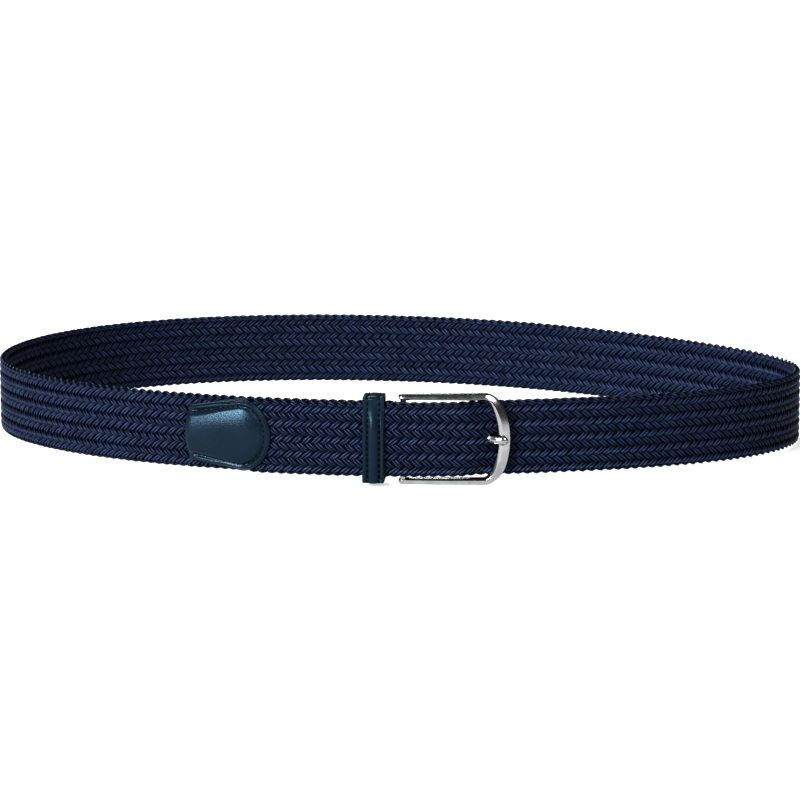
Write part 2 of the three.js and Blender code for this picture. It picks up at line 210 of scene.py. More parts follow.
LIFT_FROM = KEEPER_MIDDLE - KEEPER_WIDTH / 2
TIP_FOLD = BAR - TIP_FROM_BAR
STRAP_START = TIP_FOLD + LEATHER + GAP


def ease(value):
    share = np.clip(value, 0, 1)
    return share * share * (3 - 2 * share)


def mix(low, high, share):
    return low + (high - low) * share


def near(value, middle, reach):
    """A smooth bump of height 1, at middle, that fades out over reach."""
    return np.exp(-(((value - middle) / reach) ** 2))


# Route of the strap

def plan_point(heading):
    place = np.asarray(heading, float) / 360 * len(BULGE)
    row = np.floor(place).astype(int)
    f = place - row
    weights = ((1 - f) ** 3, 3 * f**3 - 6 * f**2 + 4, -3 * f**3 + 3 * f**2 + 3 * f + 1, f**3)
    bulge = sum(weight * BULGE[(row + k - 1) % len(BULGE)] for k, weight in enumerate(weights)) / 6
    angle = np.radians(heading)
    return np.stack([LOOP_HALF_LENGTH * np.cos(angle) * bulge, LOOP_HALF_DEPTH * np.sin(angle) * bulge], -1)


HEADINGS = FRONT_HEADING + np.linspace(0, 360, PLAN_STEPS + 1)
PLAN = plan_point(HEADINGS)
PLAN_LENGTHS = np.concatenate([[0.0], np.cumsum(np.linalg.norm(np.diff(PLAN, axis=0), axis=1))])
LOOP_LENGTH = PLAN_LENGTHS[-1]
STRAP_END = LOOP_LENGTH + BAR - BAR_RADIUS - 2 * GAP


def run_and_point(along):
    heading = np.interp(np.mod(along, LOOP_LENGTH), PLAN_LENGTHS, HEADINGS)
    run = plan_point(heading + 0.01) - plan_point(heading - 0.01)
    return run / np.linalg.norm(run, axis=-1, keepdims=True), plan_point(heading)


def find_shift():
    """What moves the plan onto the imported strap, in millimetres."""
    run, point = run_and_point(np.linspace(0, LOOP_LENGTH, PLAN_STEPS))
    x = point[:, 0] + run[:, 1] * HALF_THICKNESS
    y = point[:, 1] - run[:, 0] * HALF_THICKNESS
    low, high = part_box("strap")
    return np.array([(low[0] + high[0]) / 2 / MM - (x.min() + x.max()) / 2, high[1] / MM - y.max()])


SHIFT = find_shift()


def lift_at(along):
    signed = np.mod(along + LOOP_LENGTH / 2, LOOP_LENGTH) - LOOP_LENGTH / 2
    past = np.maximum(np.maximum(LIFT_FROM - signed, signed - BUCKLE_END), 0)
    return LIFT * np.cos(math.pi / 2 * np.clip(past / LIFT_REACH, 0, 1)) ** 2


def to_loop(along, out, height):
    """Bends flat places, in millimetres, onto the loop, in metres."""
    along, out, height = np.broadcast_arrays(*(np.asarray(v, float) for v in (along, out, height)))
    run, point = run_and_point(along)
    x = point[..., 0] + run[..., 1] * out + SHIFT[0]
    y = point[..., 1] - run[..., 0] * out + SHIFT[1]
    return np.stack([x, y, height + HALF_WIDTH + lift_at(along)], -1) * MM


def to_buckle(along, out, height):
    """The buckle hangs a little lower at its bar than at its bow."""
    return to_loop(along, out, height - BUCKLE_SAG * (BUCKLE_END - along) / BUCKLE_LENGTH)


def outward(along):
    run, _ = run_and_point(along)
    return np.stack([run[..., 1], -run[..., 0], np.zeros(run.shape[:-1])], -1)


def strap_half_width(along):
    return mix(NECK_WIDTH / 2, HALF_WIDTH, ease((along - TIP_FOLD) / NECK_LENGTH))


def strap_out(along, height):
    start = BUCKLE_END - DIVE_BEFORE_END - DIVE_EDGE_LEAD * (height / HALF_WIDTH) ** 2
    return TOP_MIDDLE * (1 - ease((along - start) / DIVE_LENGTH))


def on_strap(along, height, off_middle):
    """A place on the strap: height runs from one full-width edge to the other, off_middle out of its thickness."""
    middle = strap_out(along, height)
    squeezed = height * strap_half_width(along) / HALF_WIDTH
    return to_loop(along, middle + off_middle, squeezed + TOP_RAISE * middle / TOP_MIDDLE)


# Meshes

def lattice(rows, columns, close_rows=False, close_columns=True):
    """Quads over a grid of points, as rows of point numbers."""
    down = np.arange(rows if close_rows else rows - 1)
    across = np.arange(columns if close_columns else columns - 1)
    r, c = np.meshgrid(down, across, indexing="ij")
    r2, c2 = (r + 1) % rows, (c + 1) % columns
    return np.stack([r * columns + c, r * columns + c2, r2 * columns + c2, r2 * columns + c], -1).reshape(-1, 4)


def add_piece(name, parts, material, node=None, sharp=None, fibre=None):
    """One object from (points, faces) parts, riding the belt; the last argument, when given, is painted light: a
    share of painted highlight for each point, stored as a mesh attribute.
    """
    points, faces, first = [], [], 0
    for part_points, part_faces in parts:
        points.append(np.asarray(part_points).reshape(-1, 3))
        faces.extend((np.asarray(face) + first).tolist() for face in part_faces)
        first += len(points[-1])
    mesh = bpy.data.meshes.new(name)
    mesh.from_pydata(np.concatenate(points).tolist(), [], faces)
    mesh.materials.append(material)
    mesh.update()
    mesh.shade_smooth()
    if sharp is not None:
        mesh.set_sharp_from_angle(angle=sharp)
    if fibre is not None:
        mesh.attributes.new("fibre", "FLOAT", "POINT").data.foreach_set("value", np.ravel(fibre))
    piece = bpy.data.objects.new(name, mesh)
    bpy.context.scene.collection.objects.link(piece)
    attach(piece, "root")
    if node:
        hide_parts(node)
    return piece


def loft(rings, closed=False):
    """A closed body through rings of points; an open run gets a cap at each end."""
    rings = np.asarray(rings)
    rows, columns = rings.shape[:2]
    faces = [list(face) for face in lattice(rows, columns, close_rows=closed)]
    if not closed:
        faces.append(list(range(columns))[::-1])
        faces.append(list(range((rows - 1) * columns, rows * columns)))
    return rings, faces


def section_angles(sides):
    """Round a cord's section, from its outward side."""
    return math.pi / 2 + np.arange(sides) / sides * 2 * math.pi


def tube(centres, normals, radius, sides):
    """A round cord along centres; normals keep its seam from twisting. All in metres."""
    run = np.gradient(centres, axis=0)
    run /= np.linalg.norm(run, axis=1, keepdims=True)
    side = np.cross(run, normals)
    side /= np.linalg.norm(side, axis=1, keepdims=True)
    top = np.cross(side, run)
    angle = section_angles(sides)
    wide, high = np.broadcast_arrays(*(np.asarray(r, float) for r in radius))
    spread = side[:, None] * np.cos(angle)[:, None] * np.reshape(wide, (-1, 1, 1))
    rise = top[:, None] * np.sin(angle)[:, None] * np.reshape(high, (-1, 1, 1))
    return loft(centres[:, None] + spread + rise)


# Materials

def shader(name):
    material = bpy.data.materials.new(name)
    material.use_nodes = True
    nodes, links = material.node_tree.nodes, material.node_tree.links
    return material, nodes, links, nodes["Principled BSDF"]


def bump_from(nodes, links, height, target, strength, distance):
    bump = nodes.new("ShaderNodeBump")
    bump.inputs["Strength"].default_value = strength
    bump.inputs["Distance"].default_value = distance
    links.new(height, bump.inputs["Height"])
    links.new(bump.outputs["Normal"], target.inputs["Normal"])


def noise_from(nodes, links, scale, detail):
    place = nodes.new("ShaderNodeTexCoord")
    noise = nodes.new("ShaderNodeTexNoise")
    noise.inputs["Scale"].default_value = scale
    noise.inputs["Detail"].default_value = detail
    links.new(place.outputs["Object"], noise.inputs["Vector"])
    return noise


def ramp_from(nodes, links, source, low, high, target, span=(0.3, 0.7)):
    ramp = nodes.new("ShaderNodeValToRGB")
    ramp.color_ramp.elements[0].position = span[0]
    ramp.color_ramp.elements[1].position = span[1]
    ramp.color_ramp.elements[0].color = (*low, 1)
    ramp.color_ramp.elements[1].color = (*high, 1)
    links.new(source, ramp.inputs["Fac"])
    links.new(ramp.outputs["Color"], target)


def roughness_from(nodes, links, source, low, high, target):
    span = nodes.new("ShaderNodeMapRange")
    span.inputs["To Min"].default_value = low
    span.inputs["To Max"].default_value = high
    links.new(source, span.inputs["Value"])
    links.new(span.outputs["Result"], target.inputs["Roughness"])


def braid_material(settings):
    material, nodes, links, skin = shader("Braided cord")
    tone = noise_from(nodes, links, scale=300, detail=3)
    # Painted light: a mesh attribute, times the random tone, mixes the cords' colour from the dark painted shade to
    # the light painted highlight.
    crown = nodes.new("ShaderNodeAttribute")
    crown.attribute_name = "fibre"
    lit = nodes.new("ShaderNodeMath")
    lit.operation = "MULTIPLY"
    links.new(crown.outputs["Fac"], lit.inputs[0])
    links.new(tone.outputs["Fac"], lit.inputs[1])
    ramp_from(nodes, links, lit.outputs["Value"], settings.dark, settings.light, skin.inputs["Base Color"],
              span=(0.0, 0.5))
    fibre = noise_from(nodes, links, scale=2600, detail=2)
    bump_from(nodes, links, fibre.outputs["Fac"], skin, strength=0.35, distance=0.0002)
    roughness_from(nodes, links, fibre.outputs["Fac"], low=0.26, high=0.38, target=skin)
    skin.inputs["Specular IOR Level"].default_value = 0.2
    skin.inputs["Specular Tint"].default_value = (0.62, 0.72, 1.0, 1)
    return material


def leather_material(settings):
    material, nodes, links, skin = shader("Smooth leather")
    tone = noise_from(nodes, links, scale=60, detail=4)
    ramp_from(nodes, links, tone.outputs["Fac"], settings.dark, settings.light, skin.inputs["Base Color"])
    place = nodes.new("ShaderNodeTexCoord")
    grain = nodes.new("ShaderNodeTexVoronoi")
    grain.feature = "DISTANCE_TO_EDGE"
    grain.inputs["Scale"].default_value = 1300
    links.new(place.outputs["Object"], grain.inputs["Vector"])
    bump_from(nodes, links, grain.outputs["Distance"], skin, strength=0.8, distance=0.0001)
    roughness_from(nodes, links, tone.outputs["Fac"], low=0.24, high=0.32, target=skin)
    skin.inputs["Specular IOR Level"].default_value = 0.36
    skin.inputs["Specular Tint"].default_value = (0.5, 0.8, 1.0, 1)
    return material


def thread_material(settings):
    material, nodes, links, skin = shader("Waxed thread")
    tone = noise_from(nodes, links, scale=1500, detail=2)
    ramp_from(nodes, links, tone.outputs["Fac"], settings.thread_dark, settings.thread_light,
              skin.inputs["Base Color"])
    bump_from(nodes, links, tone.outputs["Fac"], skin, strength=0.4, distance=0.0001)
    skin.inputs["Roughness"].default_value = 0.45
    skin.inputs["Specular IOR Level"].default_value = 0.1
    return material


def metal_material(settings):
    material, nodes, links, skin = shader("Satin silver")
    skin.inputs["Metallic"].default_value = 1.0
    tone = noise_from(nodes, links, scale=300, detail=4)
    ramp_from(nodes, links, tone.outputs["Fac"], settings.dark, settings.light, skin.inputs["Base Color"])
    roughness_from(nodes, links, tone.outputs["Fac"], low=0.14, high=0.24, target=skin)
    polish = noise_from(nodes, links, scale=1800, detail=2)
    bump_from(nodes, links, polish.outputs["Fac"], skin, strength=0.06, distance=0.0001)
    return material


# Braid

def strand_route(along, strand, count, zigzag, reach, roundness):
    """A strand's height across the strap, and how many crossing rows it has left to the nearer edge."""
    phase = along / zigzag + strand / count
    turn = 2 * math.pi * phase
    height = reach * np.arcsin(roundness * np.sin(turn)) / math.asin(roundness)
    to_edge = (1 - np.abs(2 / math.pi * np.arcsin(np.sin(turn)))) * count / 2
    falling = np.where(np.cos(turn) < 0, 1.0, -1.0)
    return height, to_edge, falling


def crossing_row(height, count, reach, roundness):
    angle = np.clip(height / reach, -1, 1) * math.asin(roundness)
    linear = 2 / math.pi * np.arcsin(np.clip(np.sin(angle) / roundness, -1, 1))
    return (1 - linear) * count / 2 - 0.5


def part_for_prong(along, height, braid):
    """Pushes cords aside where the prong pierces the strap."""
    x = (along - braid.hole_place / MM) / (braid.hole_length / MM)
    y = height / (braid.hole_width / MM)
    far = np.maximum(np.hypot(x, y), 1e-3)
    spread = braid.hole_spread
    pushed = np.where(far < spread, 1 + far * (spread - 1) / spread, far)
    only_here = np.abs(along - braid.hole_place / MM) < PARTING_REACH
    grow = np.where(only_here, pushed / far, 1.0)
    return braid.hole_place / MM + x * grow * (braid.hole_length / MM), height * grow


def braid_cord(strand, side, braid):
    """One cord of a strand's pair, and its painted light: a highlight share for each point, high along its top
    where it lies over, and low, as painted shade, on its sides and where it dives.
    """
    radius = braid.cord_radius / MM
    zigzag = braid.pitch / MM * braid.strands
    reach = HALF_WIDTH - 2 * radius + EDGE_FULLNESS
    along = np.arange(STRAP_START, STRAP_END, braid.pitch / MM / STEPS_PER_PITCH)
    height, to_edge, falling = strand_route(along, strand, braid.strands, zigzag, reach, braid.roundness)
    slope = np.gradient(height, along)
    length = np.sqrt(1 + slope**2)
    row = crossing_row(height, braid.strands, reach, braid.roundness)
    over = np.cos(row * math.pi / 2) * falling
    apart = radius * mix(PAIR_CLOSED, PAIR_OPEN, over**2)
    x = along - side * apart * slope / length
    z = height + side * apart / length
    row = crossing_row(z, braid.strands, reach, braid.roundness)
    turn = to_edge / np.hypot(to_edge, TURN_ROWS)
    amplitude = HALF_THICKNESS - radius + CORD_PROUD
    out = amplitude * np.cos(row * math.pi / 2) * falling * turn
    x = x + sum(size * np.sin(along * waves + strand * shift) for size, waves, shift in SWAYS)
    x, z = part_for_prong(x, z, braid)
    x = np.clip(x, STRAP_START, STRAP_END)
    out = out + PRONG_COVER * near(x, PRONG_COVER_PLACE, PRONG_COVER_REACH) * near(z, 0, PRONG_COVER_HALF)
    centres = on_strap(x, z, out)
    size, waves, shift = WOBBLE
    thick = radius * MM * (1 + size * np.sin(along * waves + strand * shift + side))
    centres[:, 2] = np.maximum(centres[:, 2], thick)
    faces_out = np.sin(section_angles(braid.sides))
    # Painted light: a highlight along the cord's outward side where it lies over, fading to painted shade on its
    # sides and where it dives.
    on_top = np.sign(faces_out) * (over * turn)[:, None]
    # Painted shade: falling strands are made darker than rising ones, as if the key light caught them less.
    rising = (1 - FALLING_SHADE * (1 + falling))[:, None]
    painted_light_share = ease((on_top + LIT_FROM) / LIT_SPAN) * np.abs(faces_out) ** LIT_FALLOFF * rising
    return tube(centres, outward(x), (thick * CORD_WIDE, thick * CORD_HIGH), braid.sides), painted_light_share


def braid_core():
    """The inside of the braid, seen only between cords: a thin sheet in the braid's painted-shade tone, which
    stands for the shade in the gaps.
    """
    along = np.linspace(STRAP_START, STRAP_END, CORE_STEPS)[:, None]
    across = np.linspace(-1, 1, CORE_COLUMNS)
    height = np.concatenate([across, -across])[None, :] * (HALF_WIDTH - CORE_INSET)
    thick = np.repeat([CORE_HALF, -CORE_HALF], CORE_COLUMNS)[None, :]
    return loft(on_strap(along, height, thick))


# Leather

def stitches(places, facing, pitch, material, name):
    """Short arched threads along a run of places, in metres, that face away from the leather."""
    steps = np.linalg.norm(np.diff(places, axis=0), axis=1)
    lengths = np.concatenate([[0.0], np.cumsum(steps)])
    count = max(int(lengths[-1] / pitch), 1)
    parts = []
    for index in range(count):
        share = np.linspace(0.5 - STITCH_HALF, 0.5 + STITCH_HALF, 7)
        at = (index + share) / count * lengths[-1]
        centre = np.stack([np.interp(at, lengths, places[:, k]) for k in range(3)], -1)
        normal = np.stack([np.interp(at, lengths, facing[:, k]) for k in range(3)], -1)
        normal /= np.linalg.norm(normal, axis=1, keepdims=True)
        from_middle = ((share - 0.5) / STITCH_HALF) ** 2
        centre = centre + normal * ((1 - from_middle)[:, None] * STITCH_RISE - STITCH_SUNK) * MM
        thick = THREAD_RADIUS * MM * np.sqrt(np.clip(THREAD_TAPER - from_middle, THREAD_END, 1))
        parts.append(tube(centre, normal, (thick, thick * THREAD_FLATNESS), 8))
    return add_piece(name, parts, material)


def tip_half_height(distance):
    start = TIP_LENGTH - TIP_ROUND
    side = mix(TIP_FOLD_HEIGHT, TIP_HEIGHT, np.clip(distance / start, 0, 1)) / 2
    past = np.clip((distance - start) / TIP_ROUND, 0, 1)
    return np.where(distance <= start, side, TIP_HEIGHT / 2 * np.sqrt(1 - past**2))


def tip_edge_distance(distance, height):
    """How far a place on the tip is from its outline, roughly."""
    start = TIP_LENGTH - TIP_ROUND
    past = np.maximum(distance - start, 0) / TIP_ROUND
    half = mix(TIP_FOLD_HEIGHT, TIP_HEIGHT, np.clip(distance / start, 0, 1)) / 2
    share = np.hypot(past, height / half)
    return (1 - share) * mix(half, TIP_ROUND, np.clip(past, 0, 1))


def tip_face(distance, height, leather):
    """How far out the tip's front leaf is: a low margin, the groove that its stitches pull, and a puffed middle."""
    margin = leather.tip_margin / MM
    edge = tip_edge_distance(distance, height)
    past_strap = np.abs(height) - strap_half_width(TIP_FOLD + distance)
    strap_under = ease((TIP_STRAP_MARGIN - past_strap) / TIP_STRAP_SLOPE)
    low = mix(TOP_MIDDLE + LEATHER + GAP, TOP_OUT + GAP + LEATHER, strap_under)
    high = TOP_OUT + GAP + LEATHER + leather.tip_puff / MM
    rise = 1 - (1 - np.clip((edge - margin) / TIP_DOME_REACH, 0, 1)) ** 2
    sewn = ease((distance - TIP_SEWN_FROM) / TIP_SEWN_OVER)
    lip = TIP_LIP * near(edge, margin - TIP_LIP_INSET, TIP_LIP_REACH)
    groove = TIP_GROOVE * near(edge, margin, TIP_GROOVE_REACH)
    rim = TIP_RIM * ease(1 - edge / TIP_RIM_REACH)
    return mix(low, high, rise) + sewn * (lip - groove) - rim


def tip_sheet(leather):
    """The folded leather of the tip: rows run from the front leaf's round end over the fold and back."""
    start = TIP_LENGTH - TIP_ROUND
    fold = TIP_FOLD_ROUND
    angle = np.linspace(math.radians(89.2), 0, 22)
    leaf = np.concatenate([start + TIP_ROUND * np.sin(angle), np.linspace(start, fold, 30)[1:]])
    wrap = np.linspace(0, math.pi, 13)[1:-1]
    share = np.sin(np.linspace(-math.pi / 2, math.pi / 2, 61))
    rows_out, rows_in = [], []

    def row(distance, out, reach):
        height = share * tip_half_height(np.maximum(reach, 0))
        bow = TIP_FOLD_BOW * (1 - share**2) * (1 - np.clip(distance / TIP_BOW_REACH, 0, 1))
        return to_loop(TIP_FOLD + distance - bow, out, height + TOP_RAISE)

    def front(distance):
        return tip_face(distance, share * tip_half_height(distance), leather)

    for distance in leaf:
        out = front(distance)
        rows_out.append(row(distance, out, distance))
        rows_in.append(row(distance, out - LEATHER, distance))
    for turn in wrap:
        top = front(fold)
        middle, half = (top + LEAF_IN) / 2, (top - LEAF_IN) / 2
        back_in = half - LEATHER
        rows_out.append(row(fold * (1 - math.sin(turn)), middle + half * math.cos(turn), fold))
        rows_in.append(row(fold - (fold - LEATHER) * math.sin(turn), middle + back_in * math.cos(turn), fold))
    for distance in leaf[::-1]:
        rows_out.append(row(distance, np.full(share.shape, LEAF_IN), distance))
        rows_in.append(row(distance, np.full(share.shape, LEAF_OUT), distance))
    rings = np.concatenate([np.array(rows_out), np.array(rows_in)[:, ::-1]], axis=1)
    return loft(rings[:, ::-1])


def tip_seam(leather):
    """The stitch line: along the top, round the end and back along the bottom."""
    margin = leather.tip_margin / MM
    start = TIP_LENGTH - TIP_ROUND
    side = np.linspace(TIP_SEAM_START, start, 40)
    turn = np.linspace(0, math.pi, 60)
    side_height = tip_half_height(side) - margin
    distance = np.concatenate([side, start + (TIP_ROUND - margin) * np.sin(turn), side[::-1]])
    height = np.concatenate([side_height, (TIP_HEIGHT / 2 - margin) * np.cos(turn), -side_height[::-1]])
    along = TIP_FOLD + distance
    return to_loop(along, tip_face(distance, height, leather), height + TOP_RAISE), outward(along)


def keeper_ring():
    """The middle line of the keeper's outer face: (height, out) and its outward turn, all round."""
    half = KEEPER_OUTER_HALF
    low, high = -(LEAF_OUT + GAP + KEEPER_LEATHER), TOP_OUT + GAP + KEEPER_LEATHER
    corner = KEEPER_LEATHER + KEEPER_CORNER
    turns = np.linspace(0, math.pi / 2, 7)
    places = []
    middles = ((half - corner, high - corner, 0), (-half + corner, high - corner, 1),
               (-half + corner, low + corner, 2), (half - corner, low + corner, 3))
    for height, out, quarter in middles:
        for turn in turns + quarter * math.pi / 2:
            places.append((height + corner * math.cos(turn), out + corner * math.sin(turn), turn))
    ring = []
    for place, following in zip(places, places[1:] + places[:1]):
        ring.append(place)
        gap = math.hypot(following[0] - place[0], following[1] - place[1])
        pieces = max(int(gap / 1.2), 1)
        for piece in range(1, pieces if gap > 1.0 else 1):
            share = piece / pieces
            ring.append((mix(place[0], following[0], share), mix(place[1], following[1], share), place[2]))
    return np.array(ring)


def keeper_profile(leather):
    """Across the keeper's leather: (along, depth below the outer face), once round its section."""
    half = KEEPER_WIDTH / 2
    seam = half - leather.keeper_margin / MM
    across = np.sin(np.linspace(-math.pi / 2, math.pi / 2, 45)) * half
    raised = ease((seam - np.abs(across)) / KEEPER_SHOULDER)
    depth = KEEPER_SHOULDER_DROP * (1 - raised) + KEEPER_GROOVE * near(np.abs(across), seam, KEEPER_GROOVE_REACH)
    depth = depth + KEEPER_RIM * ease(1 - (half - np.abs(across)) / KEEPER_RIM_REACH)
    outer = np.stack([across, depth], -1)
    foot, inset = KEEPER_LEATHER - KEEPER_EDGE, half - KEEPER_EDGE
    inner = np.array([[half, foot], [inset, KEEPER_LEATHER], [-inset, KEEPER_LEATHER], [-half, foot]])
    return np.concatenate([outer, inner])


def keeper_place(along, depth, ring):
    """A place in the keeper's leather: its relief is flatter at the top and bottom, and its front leans out."""
    height, out, turn = ring[..., 0], ring[..., 1], ring[..., 2]
    depth = depth - KEEPER_FLAT_SHARE * np.abs(np.cos(turn)) * np.minimum(depth, KEEPER_SHOULDER_DROP)
    lean = KEEPER_LEAN * (0.5 - ease((height - KEEPER_LEAN_FROM) / KEEPER_LEAN_OVER)) * (1 - depth / KEEPER_LEATHER)
    out = out - depth * np.sin(turn) + lean * (out > HALF_THICKNESS)
    height = height - depth * np.cos(turn) + KEEPER_RAISE
    return to_loop(KEEPER_MIDDLE + along, out, height)


def keeper_body(leather):
    ring, profile = keeper_ring(), keeper_profile(leather)
    rings = keeper_place(profile[None, :, 0], profile[None, :, 1], ring[:, None, :])
    return loft(rings, closed=True)


def keeper_seam(side, leather):
    ring = np.concatenate([keeper_ring(), keeper_ring()[:1]])
    seam = side * (KEEPER_WIDTH / 2 - leather.keeper_margin / MM)
    places = keeper_place(np.full(len(ring), seam), KEEPER_SEAM_DEPTH, ring)
    within = keeper_place(np.full(len(ring), seam), KEEPER_SEAM_FOOT, ring)
    return places, places - within


def chape_route():
    """Along the chape's middle, from the end of its inner leaf round the bar to the end of its outer leaf."""
    middle = (LEAF_IN + LEAF_OUT) / 2
    leaf = np.linspace(BAR - CHAPE_LENGTH, BAR, 20)[:-1]
    turn = np.linspace(-math.pi / 2, math.pi / 2, 17)
    along = np.concatenate([leaf, BAR + middle * np.cos(turn), leaf[::-1]])
    out = np.concatenate([np.full(leaf.shape, -middle), middle * np.sin(turn), np.full(leaf.shape, middle)])
    turns = np.concatenate([np.full(leaf.shape, -math.pi / 2), turn, np.full(leaf.shape, math.pi / 2)])
    return along, out, turns


def chape_strip(low, high, leather_half):
    along, out, turn = chape_route()
    edge = CHAPE_EDGE
    profile = np.array([[low, -leather_half + edge], [low + edge, -leather_half], [high - edge, -leather_half],
                        [high, -leather_half + edge], [high, leather_half - edge], [high - edge, leather_half],
                        [low + edge, leather_half], [low, leather_half - edge]])
    height, thick = profile[None, :, 0], profile[None, :, 1]
    rings = to_loop(along[:, None] + thick * np.cos(turn)[:, None], out[:, None] + thick * np.sin(turn)[:, None],
                    height)
    return loft(rings[:, ::-1])


# Buckle

# Shares of the frame's width, towards its inner side, and of its thickness, outwards
FRAME_SECTION = np.array([
    (0.5, 0.1), (0.5, 0.5), (0.47, 0.6), (0.27, 0.95), (0.22, 0.985), (0.17, 1.0),
    (0.12, 0.985), (-0.12, 0.87), (-0.38, 0.69), (-0.455, 0.62), (-0.49, 0.52), (-0.5, 0.42),
    (-0.5, 0.2), (-0.46, 0.08), (-0.38, 0.02), (-0.3, 0.0), (0.36, 0.0), (0.45, 0.03),
])
PRONG_SECTION = np.array([
    (1.0, -0.3), (1.0, 0.2), (0.93, 0.4), (0.14, 0.97), (0.0, 1.0), (-0.14, 0.97), (-0.93, 0.4), (-1.0, 0.2),
    (-1.0, -0.3), (-0.85, -0.8), (-0.6, -0.95), (0.6, -0.95), (0.85, -0.8),
])

# Shares of the prong's length from the bar, and of its height where it rests on the bow
PRONG_ROUTE = np.array([
    (0.0, 0.0), (0.12, 0.18), (0.34, 0.25), (0.56, 0.27), (0.7, 0.3),
    (0.78, 0.39), (0.835, 0.57), (0.885, 0.84), (0.935, 0.985), (1.0, 0.985),
])


def frame_out(along):
    return BOW_MIDDLE * (along - BAR) / (BUCKLE_END - BOW_WIDTH / 2 - BAR)


def frame_half():
    """Stations from the lower arm's end to the middle of the bow: x, z, turn, width, size."""
    middle = BUCKLE_OUTER_HALF - ARM_WIDTH / 2
    bow_start = BUCKLE_END - BOW_DEPTH
    round_end = ARM_END_WIDTH / 2
    rows = []
    for angle in np.linspace(ARM_END_CUT, math.pi / 2, 8)[:-1]:
        x = BUCKLE_FROM_FRONT + round_end * (1 - math.cos(angle))
        rows.append((x, -BUCKLE_INNER_HALF - round_end, 0.0, ARM_END_WIDTH, math.sin(angle)))
    for share in np.linspace(0, 1, 12)[:-1]:
        width = mix(ARM_END_WIDTH, ARM_WIDTH, share)
        x = mix(BUCKLE_FROM_FRONT + round_end, bow_start, share)
        rows.append((x, -BUCKLE_INNER_HALF - width / 2, 0.0, width, 1.0))
    reach = BOW_DEPTH - BOW_WIDTH / 2
    for angle in np.linspace(0, math.pi / 2, 49):
        width = mix(ARM_WIDTH, BOW_WIDTH, ease(angle / math.radians(BOW_WIDENING)))
        turn = math.atan2(middle * math.sin(angle), reach * math.cos(angle))
        rows.append((bow_start + reach * math.sin(angle), -middle * math.cos(angle), turn, width, 1.0))
    return rows


def frame_body():
    half = frame_half()
    rows = half + [(x, -z, math.pi - turn, width, size) for x, z, turn, width, size in half[-2::-1]]
    arm_middle = BUCKLE_OUTER_HALF - ARM_WIDTH / 2
    rings = []
    for x, z, turn, width, size in rows:
        across = FRAME_SECTION[:, 0] * width * size
        thick = (FRAME_SECTION[:, 1] - 0.5) * FRAME_THICKNESS * size
        along = x - across * math.sin(turn)
        height = z + across * math.cos(turn)
        on_bow = x > BUCKLE_END - BOW_DEPTH
        seat = PRONG_SEAT * near(height, 0, PRONG_WIDTH * PRONG_SEAT_REACH) ** 2 * ease(FRAME_SECTION[:, 1] * 2 - 1)
        crown = BOW_CROWN * max(1 - (z / arm_middle) ** 2, 0)
        rings.append(to_buckle(along, frame_out(x) + thick + crown - seat * on_bow, height))
    return loft(rings)


def bar_body():
    height = np.linspace(-1, 1, 9) * (BUCKLE_INNER_HALF + ARM_END_WIDTH / 2)
    angle = np.arange(20) / 20 * 2 * math.pi
    rings = [to_buckle(BAR + BAR_RADIUS * np.cos(angle), BAR_RADIUS * np.sin(angle), h) for h in height]
    return loft(np.array(rings)[:, ::-1])


def prong_bodies():
    length = BUCKLE_END - BOW_WIDTH + PRONG_OVERLAP - BAR
    rest = BOW_OUT - PRONG_SEAT + GAP + PRONG_THICKNESS / 2
    round_share = PRONG_ROUND / length
    turn = np.concatenate([np.zeros(50), np.linspace(0, math.radians(87), 12)])
    along = np.concatenate([np.linspace(0, 1 - round_share, 51)[:-1], 1 - round_share * (1 - np.sin(turn[50:]))])
    slopes = np.gradient(PRONG_ROUTE[:, 1], PRONG_ROUTE[:, 0])
    out = np.zeros(along.shape)
    for k in range(len(PRONG_ROUTE) - 1):
        (x0, y0), (x1, y1) = PRONG_ROUTE[k], PRONG_ROUTE[k + 1]
        t = np.clip((along - x0) / (x1 - x0), 0, 1)
        h = x1 - x0
        bend = (y0 * (2 * t**3 - 3 * t**2 + 1) + slopes[k] * h * (t**3 - 2 * t**2 + t)
                + y1 * (3 * t**2 - 2 * t**3) + slopes[k + 1] * h * (t**3 - t**2))
        out = np.where((along >= x0) & (along <= x1), bend, out)
    rings = []
    for share, height, blunt in zip(along, out, np.cos(turn)):
        thick = PRONG_SECTION[:, 1] * mix(PRONG_TIP_THICKNESS, PRONG_THICKNESS, blunt) / 2
        wide = PRONG_SECTION[:, 0] * mix(PRONG_WIDTH, PRONG_TIP_WIDTH, share) / 2 * blunt
        lifted = height * rest + BOW_CROWN * ease((share - PRONG_LIFT_FROM) / PRONG_LIFT_OVER)
        rings.append(to_buckle(BAR + share * length, lifted + thick, wide))
    angle = np.arange(32) / 32 * 2 * math.pi
    inner, outer, half = BAR_RADIUS + GAP, LEAF_OUT, PRONG_WIDTH / 2
    profile = ((inner, -half), (outer - EYE_EDGE, -half), (outer, -half + EYE_EDGE),
               (outer, half - EYE_EDGE), (outer - EYE_EDGE, half), (inner, half))
    eye = [[to_buckle(BAR + r * np.cos(a), r * np.sin(a), h) for r, h in profile] for a in angle]
    return [loft(rings), loft(np.array(eye), closed=True)]


# Stage

# Far soft lights: name, then heading, elevation and spread in degrees; each takes its strength from its setting
LIGHTS = (
    ("Key", 228, 26, 24),
    ("Side", 300, 40, 30),
    ("Back", 112, 45, 30),
)
FLOOR_HALF = 8.0
WHITE = (1, 1, 1, 1)


def add_light(name, heading, elevation, spread, strength):
    """A far soft light, so that the floor is evenly lit."""
    lamp = bpy.data.lights.new(name, "SUN")
    lamp.angle = math.radians(spread)
    lamp.energy = strength
    holder = bpy.data.objects.new(name, lamp)
    turn, rise = math.radians(heading), math.radians(elevation)
    towards = Vector((math.cos(turn) * math.cos(rise), math.sin(turn) * math.cos(rise), math.sin(rise)))
    holder.rotation_euler = towards.to_track_quat("Z", "Y").to_euler()
    bpy.context.scene.collection.objects.link(holder)


